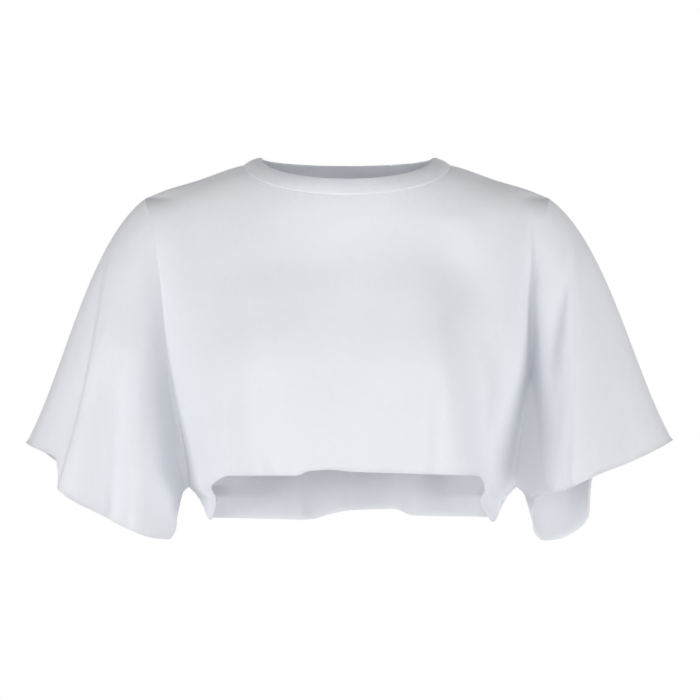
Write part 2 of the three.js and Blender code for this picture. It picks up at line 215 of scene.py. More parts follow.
RIGHT_CUFF_BACK = (
    CuffRow(-336, -291, 0),
    CuffRow(-331, -294, 20),
    CuffRow(-321, -300, 38),
    CuffRow(-300, -316, 58),
    CuffRow(-262, -338, 74),
    CuffRow(-225, -355, 70),
    CuffRow(-194, -362, 48),
    CuffRow(-183, -359, 16),
    CuffRow(-184, -352, 0),
)
LEFT_CUFF_FRONT = (
    CuffRow(341, -288, 0),
    CuffRow(336, -291, 20),
    CuffRow(324, -297, 38),
    CuffRow(298, -309, 58),
    CuffRow(268, -321, 73),
    CuffRow(245, -333, 78),
    CuffRow(232, -339, 74),
    CuffRow(218, -342, 62),
    CuffRow(202, -346, 38),
    CuffRow(196, -351, 14),
    CuffRow(197, -352, 0),
)
LEFT_CUFF_BACK = (
    CuffRow(341, -288, 0),
    CuffRow(336, -291, 20),
    CuffRow(322, -297, 40),
    CuffRow(285, -309, 64),
    CuffRow(263, -320, 73),
    CuffRow(257, -345, 75),
    CuffRow(256, -366, 74),
    CuffRow(246, -381, 69),
    CuffRow(222, -393, 54),
    CuffRow(209, -394, 43),
    CuffRow(197, -379, 26),
    CuffRow(196, -362, 13),
    CuffRow(197, -352, 0),
)
CUFFS = {
    -1: {Side.FRONT: RIGHT_CUFF_FRONT, Side.BACK: RIGHT_CUFF_BACK},
    1: {Side.FRONT: LEFT_CUFF_FRONT, Side.BACK: LEFT_CUFF_BACK},
}
FRONT_FOLDS: dict[str, tuple[FoldRow, ...]] = {
    "overarm lap, right": (
        FoldRow(-55, -232, 5, 22, 0),
        FoldRow(-109, -248, 4, 24, 6, -1),
        FoldRow(-169, -257, 4, 24, 10, -3),
        FoldRow(-246, -271, 4, 24, 13, -4),
        FoldRow(-340, -295, 5, 24, 16, -5),
    ),
    "sleeve trough, right": (
        FoldRow(-190, -232, 18, 13, 0),
        FoldRow(-260, -240, 20, 14, -14),
        FoldRow(-390, -250, 22, 16, -20),
    ),
    "armhole trough, right": (
        FoldRow(-70, -205, 8, 8, 0),
        FoldRow(-180, -192, 14, 8, -5),
        FoldRow(-260, -186, 20, 8, -20),
        FoldRow(-340, -174, 22, 10, -20),
    ),
    "bust shadow, left": (
        FoldRow(-55, 102, 26, 34, 0),
        FoldRow(-140, 122, 30, 32, -16),
        FoldRow(-250, 138, 22, 28, -11),
        FoldRow(-330, 140, 16, 26, 0),
    ),
    "flank crease, left": (
        FoldRow(-165, 136, 16, 30, 0),
        FoldRow(-250, 144, 15, 34, -19),
        FoldRow(-323, 147, 12, 32, -25),
        FoldRow(-373, 160, 9, 20, -10),
    ),
    "waist trough, right": (
        FoldRow(-205, -96, 13, 16, 0),
        FoldRow(-277, -83, 12, 20, -5),
        FoldRow(-325, -70, 13, 24, -8),
    ),
    "side crease, right": (
        FoldRow(-215, -124, 5, 9, 0),
        FoldRow(-270, -121, 5, 9, -2.5),
        FoldRow(-330, -118, 6, 10, -3.5),
    ),
    "waist crease, left": (
        FoldRow(-215, 96, 7, 8, 0),
        FoldRow(-270, 94, 7, 8, -2.5),
        FoldRow(-330, 91, 8, 9, -3.5),
    ),
    "armhole trough, left": (
        FoldRow(-45, 192, 5, 5, 0),
        FoldRow(-141, 191, 6, 7, -14),
        FoldRow(-200, 192, 10, 12, -24),
        FoldRow(-260, 193, 16, 18, -34),
        FoldRow(-350, 188, 18, 20, -30),
    ),
    "sleeve trough, left": (
        FoldRow(-75, 232, 8, 5, 0),
        FoldRow(-180, 227, 14, 7, -12),
        FoldRow(-260, 222, 19, 9, -26),
        FoldRow(-345, 216, 24, 11, -36),
    ),
    "sleeve lap, left": (
        FoldRow(-75, 241, 5, 15, 0),
        FoldRow(-200, 241, 5, 24, 7, -3),
        FoldRow(-340, 239, 6, 34, 12, -6),
    ),
    "outer sleeve trough, left": (
        FoldRow(-90, 258, 12, 16, 0),
        FoldRow(-180, 276, 14, 20, -5),
        FoldRow(-300, 296, 16, 22, -3),
    ),
}
BACK_FOLDS: dict[str, tuple[FoldRow, ...]] = {
    "middle back trough, right": (
        FoldRow(-150, -70, 22, 16, 0),
        FoldRow(-260, -62, 22, 14, -7),
        FoldRow(-373, -52, 24, 14, -11),
    ),
    "middle back crease": (
        FoldRow(-250, 2, 8, 14, 0),
        FoldRow(-320, 5, 8, 16, -4),
        FoldRow(-373, 8, 8, 18, -7),
    ),
    "middle back trough, left": (
        FoldRow(-170, 88, 14, 22, 0),
        FoldRow(-280, 80, 16, 24, -6),
        FoldRow(-373, 74, 16, 26, -10),
    ),
    "armhole trough, back right": (
        FoldRow(-60, -198, 10, 8, 0),
        FoldRow(-200, -190, 14, 10, -8),
        FoldRow(-345, -176, 16, 12, -10),
    ),
    "armhole trough, back left": (
        FoldRow(-60, 200, 8, 10, 0),
        FoldRow(-200, 192, 10, 14, -7),
        FoldRow(-345, 180, 12, 16, -10),
    ),
    "sleeve trough, back right": (
        FoldRow(-110, -238, 10, 10, 0),
        FoldRow(-230, -252, 12, 18, -12),
        FoldRow(-360, -268, 14, 22, -18),
    ),
    "sleeve trough, back left": (
        FoldRow(-100, 234, 10, 10, 0),
        FoldRow(-230, 250, 20, 12, -11),
        FoldRow(-390, 262, 24, 12, -18),
    ),
}
FOLDS = {Side.FRONT: FRONT_FOLDS, Side.BACK: BACK_FOLDS}


# ---- Curves ----
def cubic(t: Array, ends: tuple[Array, Array], slopes: tuple[Array, Array], width: Array) -> Array:
    """Evaluates a cubic stretch between two values with given slopes.

    Args:
        t: How far along the stretch, from 0 to 1.
        ends: The values at its two ends.
        slopes: The slopes at its two ends.
        width: The stretch's width.

    Returns:
        The value at t.
    """
    u = 1 - t
    rise = ends[0] * (1 + 2 * t) * u * u + ends[1] * (1 + 2 * u) * t * t
    return rise + slopes[0] * width * t * u * u - slopes[1] * width * u * t * t


def gentle_slopes(at: Array, values: Array) -> Array:
    """Finds slopes that let a curve through the values without overshoot.

    Args:
        at: Where the values are, in rising order.
        values: The values, along the first axis.

    Returns:
        A slope for each value.
    """
    widths = np.diff(at).reshape(-1, *([1] * (values.ndim - 1)))
    steps = np.diff(values, axis=0) / widths
    before, after = steps[:-1], steps[1:]
    total = before + after
    safe = np.where(np.abs(total) > TINY, total, 1.0)
    inner = np.where(before * after > 0, 2 * before * after / safe, 0.0)
    return np.concatenate([steps[:1], inner, steps[-1:]])


@dataclass(frozen=True)
class Curve:
    """A smooth curve through a table's points, flat beyond its ends."""

    at: Array
    values: Array

    @classmethod
    def of(cls, rows: Sequence[Any], along: Callable[[Any], float], column: str) -> "Curve":
        """Makes the curve of one named column of a table.

        Args:
            rows: The table.
            along: What the curve is a function of.
            column: The column's name.

        Returns:
            The curve.
        """
        ordered = sorted(rows, key=along)
        return cls(np.array([along(r) for r in ordered]), np.array([getattr(r, column) for r in ordered]))

    def __call__(self, where: Array) -> Array:
        """Evaluates the curve."""
        where = np.clip(where, self.at[0], self.at[-1])
        i = np.clip(np.searchsorted(self.at, where, side="right") - 1, 0, len(self.at) - 2)
        width = self.at[i + 1] - self.at[i]
        slopes = gentle_slopes(self.at, self.values)
        ends = (self.values[i], self.values[i + 1])
        return cubic((where - self.at[i]) / width, ends, (slopes[i], slopes[i + 1]), width)


def smooth(t: Array) -> Array:
    """Eases from 0 to 1."""
    c = np.clip(t, 0.0, 1.0)
    return c * c * (3 - 2 * c)


def mix(a: Any, b: Any, t: Any) -> Any:
    """Blends two values."""
    return a + (b - a) * t


def unit(vectors: Array) -> Array:
    """Scales vectors to length 1."""
    return vectors / np.maximum(np.linalg.norm(vectors, axis=-1, keepdims=True), TINY)


def pick_rows(table: Array, rows: Array) -> Array:
    """Takes from each column of a table the value in its own row."""
    return np.take_along_axis(table, rows[None], axis=0)[0]


def along_line(points: Array, shares: Array) -> Array:
    """Places points at shares of a line's length.

    Args:
        points: The line's own points.
        shares: Shares of its length, from 0 to 1.

    Returns:
        A point for each share.
    """
    reach = np.concatenate([[0.0], np.cumsum(np.linalg.norm(np.diff(points, axis=0), axis=1))])
    at = reach / reach[-1]
    return np.stack([Curve(at, points[:, axis])(shares) for axis in range(3)], axis=-1)


# ---- The form ----
@dataclass
class WornForm:
    """The outside of the garment as it hangs: a smooth form, and the folds on it.

    The form's columns (middle, blade, flank, armhole) stand at `places`, in shares of the half width.
    Folds die out where the cloth is less than `fold_fade` deep, and leave `least_share` of any depth.
    """

    lean: float = 6.0
    side_hem_x: float = 160.0
    side_hem_z: float = -348.0
    places: tuple[float, ...] = (0.0, 0.45, 0.8, 1.0)
    fold_fade: float = 26.0
    least_share: float = 0.22
    ripple_height: float = 0.15
    ripple_lengths: tuple[float, float] = (34.0, 110.0)
    ripple_turn: float = 0.55
    ripple_count: int = 18
    seed: int = 7
    ripples: Array = field(init=False)

    def __post_init__(self) -> None:
        """Draws the fixed set of faint ripples."""
        draw = np.random.default_rng(self.seed)
        length = draw.uniform(*self.ripple_lengths, self.ripple_count)
        turn = draw.normal(0.0, self.ripple_turn, self.ripple_count)
        phase = draw.uniform(0.0, 2 * math.pi, self.ripple_count)
        wave = 2 * math.pi / length
        self.ripples = np.stack([wave * np.cos(turn), wave * np.sin(turn), phase], axis=1)

    @property
    def tip(self) -> LineRow:
        """The shoulder point, at the top of the armhole."""
        return SHOULDER[-1]

    @property
    def underarm(self) -> ArmholeRow:
        """The bottom of the armhole."""
        return ARMHOLE[-1]

    def shoulder_height(self, x: Array) -> Array:
        """The height of the shoulder line across the body."""
        return Curve.of(SHOULDER, lambda row: row.x, "z")(np.abs(x))

    def armhole_turn(self, z: Array) -> Array:
        """The angle down the armhole, 0 at the shoulder point and pi at the underarm."""
        share = (self.tip.z - np.asarray(z, dtype=float)) / (self.tip.z - self.underarm.z)
        return np.arccos(1 - 2 * np.clip(share, 0.0, 1.0))

    def armhole(self, z: Array, column: str) -> Array:
        """One column of the armhole table at a height."""
        return Curve.of(ARMHOLE, lambda row: float(self.armhole_turn(row.z)), column)(self.armhole_turn(z))

    def lean_at(self, z: Array) -> Array:
        """How far the body has swung to +X at a height."""
        return self.lean * smooth(np.asarray(z) / self.underarm.z)

    def half_width(self, z: Array) -> Array:
        """Half the body's width, between the armholes and then between the side seams."""
        below = np.clip((np.asarray(z) - self.underarm.z) / (self.side_hem_z - self.underarm.z), 0.0, 1.0)
        return np.where(
            np.asarray(z) >= self.underarm.z,
            self.armhole(z, "x"),
            mix(self.underarm.x, self.side_hem_x, below),
        )

    def depth(self, side: Side, share: Array, x: Array, z: Array) -> Array:
        """The depth of the smooth body.

        Args:
            side: Front or back.
            share: Shares of the body's half width, from -1 to 1.
            x: Places across.
            z: Heights.

        Returns:
            How far the cloth lies in front of or behind the shoulder line.
        """
        drop = np.sqrt(np.maximum(0.0, self.shoulder_height(x - self.lean_at(z)) - z))
        table = FRONT_FORM if side is Side.FRONT else BACK_FORM
        columns = [
            Curve.of(table, lambda row: math.sqrt(row.drop), name)(drop) for name in FormRow._fields[1:]
        ]
        columns.append(self.armhole(z, "front" if side is Side.FRONT else "back"))
        values = np.stack([*columns[:0:-1], *columns])
        at = np.array([*(-place for place in self.places[:0:-1]), *self.places])
        slopes = gentle_slopes(at, values)
        share = np.clip(share, -1.0, 1.0)
        i = np.clip(np.searchsorted(at, share, side="right") - 1, 0, len(at) - 2)
        width = at[i + 1] - at[i]
        ends = (pick_rows(values, i), pick_rows(values, i + 1))
        end_slopes = (pick_rows(slopes, i), pick_rows(slopes, i + 1))
        return cubic((share - at[i]) / width, ends, end_slopes, width)

    def folded(self, side: Side, points: Array) -> Array:
        """Moves points of the smooth form in or out by the folds and ripples that cross them.

        Args:
            side: Front or back.
            points: Points of the smooth form.

        Returns:
            The moved points.
        """
        x, y, z = points[..., 0], points[..., 1], points[..., 2]
        depth = np.abs(y)
        height = np.zeros_like(depth)
        reach = np.zeros_like(depth)
        for rows in FOLDS[side].values():
            line = {name: Curve.of(rows, lambda row: row.z, name)(z) for name in FoldRow._fields[1:]}
            off = x - line["x"]
            flank = np.where(off < 0, line["left"], line["right"])
            profile = np.exp(-((off / flank) ** 2)) * (z <= max(row.z for row in rows))
            height += line["height"] * profile
            reach += line["reach"] * profile
        for across, down, phase in self.ripples:
            height += self.ripple_height * np.sin(across * x + down * z + phase + side.value)
        fade = smooth(depth / self.fold_fade)
        moved = np.maximum(depth + fade * height, self.least_share * depth)
        return np.stack([x + fade * reach, side.value * moved, z], axis=-1)


# ---- Pieces ----
@dataclass
class Density:
    """How finely the panels are divided."""

    columns: int = 168
    neck_columns: int = 48
    armhole_rows: int = 116
    side_rows: int = 10
    stations: int = 100
    evenness: float = 0.4

    @property
    def neck_span(self) -> slice:
        """The columns of a panel's neck edge."""
        middle = self.columns // 2
        return slice(middle - self.neck_columns, middle + self.neck_columns + 1)

    def down(self) -> Array:
        """Shares of the way down an armhole, closer together at its two ends."""
        t = np.linspace(0.0, 1.0, self.armhole_rows + 1)
        return mix((1 - np.cos(math.pi * t)) / 2, t, self.evenness)


@dataclass
class Panel:
    """A cut piece of jersey: a grid of points on the middle of its cloth."""

    name: str
    grid: Array
    outward: int
    closed: bool
    seams: tuple[Edge, ...]
    normals: Array = field(default_factory=lambda: np.zeros((0, 3)))

    @property
    def high(self) -> int:
        """The number of rows."""
        return self.grid.shape[0]

    @property
    def wide(self) -> int:
        """The number of columns."""
        return self.grid.shape[1]

    def quads(self) -> Array:
        """The corners of the grid's faces, turned to face out."""
        last = self.wide if self.closed else self.wide - 1
        k, j = np.meshgrid(np.arange(self.high - 1), np.arange(last), indexing="ij")
        after = (j + 1) % self.wide
        a, b = k * self.wide + j, k * self.wide + after
        ring = np.stack([a, a + self.wide, b + self.wide, b], axis=-1).reshape(-1, 4)
        return ring if self.outward > 0 else ring[:, ::-1]

    def own_normals(self) -> Array:
        """The grid's own normals, one for each point."""
        points = self.grid.reshape(-1, 3)
        quads = self.quads()
        a, b, c, d = (points[quads[:, corner]] for corner in range(4))
        across = np.cross(c - a, d - b)
        total = np.zeros_like(points)
        for corner in range(4):
            np.add.at(total, quads[:, corner], across)
        return unit(total)

    def edge(self, which: Edge) -> tuple[Array, Array]:
        """The points of an edge, and the points one step in from it."""
        index = np.arange(self.high * self.wide).reshape(self.high, self.wide)
        if which is Edge.TOP:
            return index[0], index[1]
        if which is Edge.LEFT:
            return index[:, 0], index[:, 1]
        return index[:, -1], index[:, -2]

    def rims(self) -> list[Array]:
        """The closed or open runs of points where the cloth ends, each facing out."""
        index = np.arange(self.high * self.wide).reshape(self.high, self.wide)
        if self.closed:
            top, bottom = index[0], index[-1][::-1]
            return [np.append(top, top[0]), np.append(bottom, bottom[0])]
        loop = [index[0], index[1:, -1], index[-1, -2::-1], index[-2::-1, 0]]
        return [np.concatenate(loop)]


@dataclass
class ShirtPattern:
    """Cuts the shirt's panels over the worn form.

    A sleeve leaves the shoulder by `near_out` and `near_up`, comes down on its hem by `far_out` and
    `far_up`, and swells by `forward` between the two.
    """

    form: WornForm = field(default_factory=WornForm)
    density: Density = field(default_factory=Density)
    neck_half_width: float = 108.0
    neck_front_drop: float = 32.0
    neck_back_drop: float = 20.0
    near_out: float = 18.0
    near_up: float = 40.0
    far_out: float = 2.0
    far_up: float = -13.0
    forward: float = 12.0

    def body(self, side: Side) -> Array:
        """The smooth grid of the front or back, from the shoulders and neck to the hem.

        Args:
            side: Front or back.

        Returns:
            Rows of points.
        """
        form, density = self.form, self.density
        table = FRONT_HEM if side is Side.FRONT else BACK_HEM
        drop = self.neck_front_drop if side is Side.FRONT else self.neck_back_drop
        neck_share = density.neck_columns / (density.columns / 2)
        u = np.linspace(-1.0, 1.0, density.columns + 1)
        size = np.abs(u)
        on_neck = size <= neck_share + TINY
        turn = np.pi / 2 * u / neck_share
        past = np.sign(u) * mix(self.neck_half_width, form.tip.x, (size - neck_share) / (1 - neck_share))
        top_x = np.where(on_neck, self.neck_half_width * np.sin(turn), past)
        top_z = np.where(on_neck, -drop * np.maximum(0.0, np.cos(turn)), form.shoulder_height(top_x))
        hem_x = Curve.of(table, lambda row: row.share, "x")(u)
        hem_z = Curve.of(table, lambda row: row.share, "z")(u)
        side_z = np.where(u < 0, table[0].z, table[-1].z)
        armhole_share = (form.underarm.z - form.tip.z) / (side_z - form.tip.z)
        above = density.down()[:, None] * armhole_share
        below = mix(armhole_share, 1.0, np.linspace(0, 1, density.side_rows + 1)[1:, None])
        down = np.concatenate([above, below])
        z = mix(top_z, hem_z, down)
        top_share = top_x / form.half_width(top_z)
        hem_share = (hem_x - form.lean_at(hem_z)) / form.side_hem_x
        share = mix(top_share, hem_share, smooth(down))
        x = share * form.half_width(z) + form.lean_at(z)
        return np.stack([x, side.value * form.depth(side, share, x, z), z], axis=-1)

    def half_sleeve(self, side: Side, hand: int, edge: Array) -> Array:
        """The smooth grid of one half of a sleeve.

        Args:
            side: Front or back.
            hand: The way that the sleeve points along X.
            edge: The armhole's points, from the shoulder point to the underarm.

        Returns:
            Rows of points from the armhole to the hem.
        """
        rows = self.density.armhole_rows
        hem = np.array([[row.x, side.value * row.depth, row.z] for row in CUFFS[hand][side]])
        shares = np.arange(rows + 1) / rows
        end = along_line(hem, shares)
        weight = ((1 + np.cos(math.pi * shares)) / 2) ** 2
        bulge = side.value * self.forward * np.sin(math.pi * shares)
        near, far = (
            mix(edge, end, share) + np.stack([hand * out * weight, bulge, up * weight], axis=-1)
            for share, out, up in ((1 / 3, self.near_out, self.near_up), (2 / 3, self.far_out, self.far_up))
        )
        t = np.linspace(0.0, 1.0, self.density.stations + 1)[:, None, None]
        s = 1 - t
        return s**3 * edge + 3 * s * s * t * near + 3 * s * t * t * far + t**3 * end

    def sleeve(self, hand: int, bodies: dict[Side, Array]) -> Array:
        """The folded grid of a whole sleeve: front half, then back half, round its ring.

        Args:
            hand: The way that the sleeve points along X.
            bodies: The smooth grids of the front and back.

        Returns:
            Rows of points, from the armhole to the hem.
        """
        column = 0 if hand < 0 else -1
        rows = self.density.armhole_rows + 1
        halves = {
            side: self.form.folded(side, self.half_sleeve(side, hand, bodies[side][:rows, column]))
            for side in Side
        }
        return np.concatenate([halves[Side.FRONT], halves[Side.BACK][:, -2:0:-1]], axis=1)

    def panels(self) -> list[Panel]:
        """Cuts the front, the back and the two sleeves, in metres."""
        bodies = {side: self.body(side) for side in Side}
        all_seams = (Edge.TOP, Edge.LEFT, Edge.RIGHT)
        front = self.form.folded(Side.FRONT, bodies[Side.FRONT])
        back = self.form.folded(Side.BACK, bodies[Side.BACK])
        return [
            Panel("front", front * MM, 1, False, all_seams),
            Panel("back", back * MM, -1, False, all_seams),
            Panel("sleeve_right", self.sleeve(-1, bodies) * MM, 1, True, (Edge.TOP,)),
            Panel("sleeve_left", self.sleeve(1, bodies) * MM, -1, True, (Edge.TOP,)),
        ]


# ---- Meshes ----
def lay_flat(grid: Array, closed: bool) -> Array:
    """Gives each point of a grid its place on the flat cloth, in metres.

    Args:
        grid: Rows of points.
        closed: Whether each row closes into a ring, whose first point is then repeated at its end.

    Returns:
        Rows of flat coordinates.
    """
    if closed:
        grid = np.concatenate([grid, grid[:, :1]], axis=1)
    across = np.linalg.norm(np.diff(grid, axis=1), axis=2)
    down = np.linalg.norm(np.diff(grid, axis=0), axis=2)
    u = np.concatenate([np.zeros((len(grid), 1)), np.cumsum(across, axis=1)], axis=1)
    u = u - u[:, u.shape[1] // 2][:, None]
    v = np.concatenate([np.zeros((1, grid.shape[1])), np.cumsum(down, axis=0)])
    return np.stack([u, v], axis=-1)


def new_object(name: str, data: bpy.types.ID) -> bpy.types.Object:
    """Puts a new object with the given data in the scene, at the origin."""
    obj = bpy.data.objects.new(name, data)
    bpy.context.scene.collection.objects.link(obj)
    return obj


def mesh_object(name: str, points: Array, faces: Array, flat: Array, sharp: Array) -> bpy.types.Object:
    """Makes a smooth mesh object with its cloth coordinates.

    Args:
        name: The object's name.
        points: The vertices.
        faces: Four corners for each face.
        flat: Flat coordinates for each corner of each face.
        sharp: Pairs of vertices whose edge is crisp.

    Returns:
        The new object, at the origin.
    """
    mesh = bpy.data.meshes.new(name)
    mesh.from_pydata(points.tolist(), [], faces.tolist())
    mesh.update()
    mesh.shade_smooth()
    layer = mesh.uv_layers.new(name="cloth")
    layer.data.foreach_set("uv", flat.reshape(-1).astype(np.float32))
    crisp = {tuple(sorted(pair)) for pair in sharp.tolist()}
    flags = [tuple(sorted(edge.vertices)) in crisp for edge in mesh.edges]
    mesh.attributes.new("sharp_edge", "BOOLEAN", "EDGE").data.foreach_set("value", flags)
    return new_object(name, mesh)


@dataclass
class Tailor:
    """Gives the panels their thickness, clears their seams and rolls their cut edges."""

    cloth: float = 1.3 * MM
    seam_gap: float = 0.06 * MM
    roll_depth: float = 5.0 * MM
    roll_height: float = 1.1 * MM
    roll_sway: float = 0.5
    roll_beats: tuple[float, float] = (0.37, 0.113)

    def share_normals(self, panels: list[Panel]) -> None:
        """Sets the panels' normals, averaged where sewn panels have points in common."""
        shared: dict[tuple[int, ...], Array] = {}
        keys = []
        for panel in panels:
            normals = panel.own_normals()
            places = np.round(panel.grid.reshape(-1, 3) / MICRON).astype(int)
            found = [tuple(place) for place in places.tolist()]
            keys.append(found)
            for key, normal in zip(found, normals):
                shared[key] = shared.get(key, 0) + normal
        for panel, found in zip(panels, keys):
            panel.normals = unit(np.array([shared[key] for key in found]))

    def inset(self, panel: Panel) -> Array:
        """Finds how far each sewn edge draws back from its seam."""
        points = panel.grid.reshape(-1, 3)
        shift = np.zeros_like(points)
        for seam in panel.seams:
            edge, inner = panel.edge(seam)
            if panel.closed:
                tangent = points[np.roll(edge, -1)] - points[np.roll(edge, 1)]
            else:
                tangent = np.gradient(points[edge], axis=0)
            aside = unit(np.cross(panel.normals[edge], tangent))
            inwards = np.sign(np.sum(aside * (points[inner] - points[edge]), axis=1, keepdims=True))
            shift[edge] += aside * inwards * self.seam_gap / 2
        return shift

    def roll(self, panel: Panel) -> Array:
        """Finds how far the cut hem curls outwards."""
        down = np.linalg.norm(np.diff(panel.grid, axis=0), axis=2)
        from_hem = np.concatenate([np.cumsum(down[::-1], axis=0)[::-1], np.zeros((1, panel.wide))])
        column = np.arange(panel.wide)
        short, long = self.roll_beats
        wave = 1 + self.roll_sway * np.sin(column * short) * np.sin(column * long + 1)
        lift = self.roll_height * np.clip(1 - from_hem / self.roll_depth, 0, 1) ** 2 * wave
        return lift.reshape(-1, 1) * panel.normals

    def sew(self, panel: Panel) -> bpy.types.Object:
        """Makes a panel's object, with two faces and a rim."""
        points = panel.grid.reshape(-1, 3) + self.inset(panel) + self.roll(panel)
        half = panel.normals * self.cloth / 2
        count = len(points)
        quads = panel.quads()
        rims, sharp = [], []
        for run in panel.rims():
            a, b = run[:-1], run[1:]
            strip = np.stack([a, b, b + count, a + count], axis=1)
            rims.append(strip if panel.outward > 0 else strip[:, ::-1])
            sharp += [np.stack([a, b], axis=1), np.stack([a + count, b + count], axis=1)]
        faces = np.concatenate([quads, quads[:, ::-1] + count, *rims])
        flat = self.flat_corners(panel, faces % count)
        skins = np.concatenate([points + half, points - half])
        return mesh_object(panel.name + "_cloth", skins, faces, flat, np.concatenate(sharp))

    def flat_corners(self, panel: Panel, corners: Array) -> Array:
        """Looks up the flat coordinates of each corner, past the join of a ring where a face crosses it."""
        flat = lay_flat(panel.grid, panel.closed)
        row, column = corners // panel.wide, corners % panel.wide
        crosses = (column.max(axis=1) == panel.wide - 1) & (column.min(axis=1) == 0) & panel.closed
        column = np.where(crosses[:, None] & (column == 0), panel.wide, column)
        return flat[row, column]


@dataclass
class Neckband:
    """The crew neckband: a strip of rib folded double and sewn round the neck.

    It is fullest halfway up, thinner by `seam_fullness` at the seam and by `fold_fullness` at the fold,
    which rounds over at `crown` of its height, and it bows outwards by `bow`.
    """

    half_width: float = 90.0
    side_rise: float = 8.0
    front_drop: float = 15.0
    back_drop: float = -0.5
    front_depth: float = 57.0
    back_depth: float = 51.0
    thickness: float = 2.4
    seam_fullness: float = 0.82
    fold_fullness: float = 0.62
    crown: float = 1.035
    bow: float = 1.2
    clearance: float = 0.12
    rows: int = 14

    @staticmethod
    def seam(front: Panel, back: Panel, density: Density) -> Array:
        """The neck seam's points, in millimetres: along the front from -X to +X, and home along the back."""
        span = density.neck_span
        return np.concatenate([front.grid[0, span], back.grid[0, span][-2:0:-1]]) / MM

    def section(self) -> tuple[Array, Array]:
        """The band's section: shares of its height, and offsets from its middle, round a closed loop."""
        up = np.linspace(0.0, 1.0, self.rows)
        half = self.thickness / 2
        swell = half * mix(self.seam_fullness, 1.0, np.sin(math.pi * up) ** 0.5)
        swell[-1] = half * self.fold_fullness
        share = np.concatenate([up, [self.crown], up[::-1]])
        offset = np.concatenate([swell, [0.0], -swell[::-1]])
        return share, offset

    def build(self, front: Panel, back: Panel, density: Density) -> bpy.types.Object:
        """Makes the band.

        Args:
            front: The front panel.
            back: The back panel.
            density: The panels' density.

        Returns:
            The band's object.
        """
        seam = self.seam(front, back, density)
        turn = 2 * math.pi * np.arange(len(seam)) / len(seam)
        ahead = np.sin(turn) >= 0
        drop = self.side_rise + np.where(ahead, self.front_drop, self.back_drop)
        top = np.stack(
            [
                -self.half_width * np.cos(turn),
                -np.where(ahead, self.front_depth, self.back_depth) * np.sin(turn),
                self.side_rise - drop * np.abs(np.sin(turn)),
            ],
            axis=-1,
        )
        rise = top - seam
        start = seam + unit(rise) * self.clearance
        tangent = np.roll(seam + top, -1, axis=0) - np.roll(seam + top, 1, axis=0)
        normal = unit(np.cross(tangent, rise))
        share, offset = self.section()
        bow = self.bow * np.sin(math.pi * np.clip(share, 0, 1))[:, None, None]
        points = start + (top - start) * share[:, None, None] + normal * (offset[:, None, None] + bow)
        ring = len(share)
        around = len(seam)
        k, j = np.meshgrid(np.arange(ring), np.arange(around), indexing="ij")
        up, after = (k + 1) % ring, (j + 1) % around
        faces = np.stack([k * around + j, k * around + after, up * around + after, up * around + j], -1)
        steps = np.linalg.norm(np.roll(seam, -1, 0) - seam, axis=1)
        around_at = np.concatenate([[0.0], np.cumsum(steps)]) * MM
        height = float(np.linalg.norm(rise, axis=1).mean()) * MM
        u = np.stack([around_at[j], around_at[j + 1], around_at[j + 1], around_at[j]], -1)
        v = np.stack([k, k, k + 1, k + 1], -1) / ring * 2 * height
        flat = np.stack([u, v], axis=-1)
        no_edges = np.zeros((0, 2), int)
        return mesh_object("neckband_rib", points.reshape(-1, 3) * MM, faces.reshape(-1, 4), flat, no_edges)


# ---- Nodes and finishes ----
MIX_FIRST, MIX_SECOND, MIX_COLOUR = 6, 7, 2  # the Mix node's colour sockets, which share their names
WHOLE_BAND = math.pi / 10  # the Wave Texture's scale at which one band is as wide as one unit


def linear(code: str) -> tuple[float, float, float, float]:
    """Turns an sRGB hex colour into linear values."""
    parts = [int(code[i : i + 2], 16) / 255 for i in (1, 3, 5)]
    return (*(p / 12.92 if p <= 0.04045 else ((p + 0.055) / 1.055) ** 2.4 for p in parts), 1.0)


def add_node(
    tree: bpy.types.NodeTree,
    kind: str,
    inputs: dict[str | int, Any] | None = None,
    **settings: Any,
) -> bpy.types.Node:
    """Adds a node to a tree.

    Args:
        tree: The tree.
        kind: The node's type.
        inputs: For each input's name or number, a value, or an output that it is linked to.
        settings: The node's own settings.

    Returns:
        The new node.
    """
    node = tree.nodes.new(kind)
    for name, value in settings.items():
        setattr(node, name, value)
    for name, value in (inputs or {}).items():
        if isinstance(value, bpy.types.NodeSocket):
            tree.links.new(value, node.inputs[name])
        else:
            node.inputs[name].default_value = value
    return node


def combine(tree: bpy.types.NodeTree, operation: str, first: Any, second: Any) -> bpy.types.NodeSocket:
    """Adds a Math node for two numbers or outputs, and gives its result."""
    return add_node(tree, "ShaderNodeMath", {0: first, 1: second}, operation=operation).outputs[0]


def empty_tree(owner: bpy.types.Material | bpy.types.World) -> bpy.types.NodeTree:
    """Clears the nodes of a new material or world, and gives its tree."""
    owner.use_nodes = True
    owner.node_tree.nodes.clear()
    return owner.node_tree


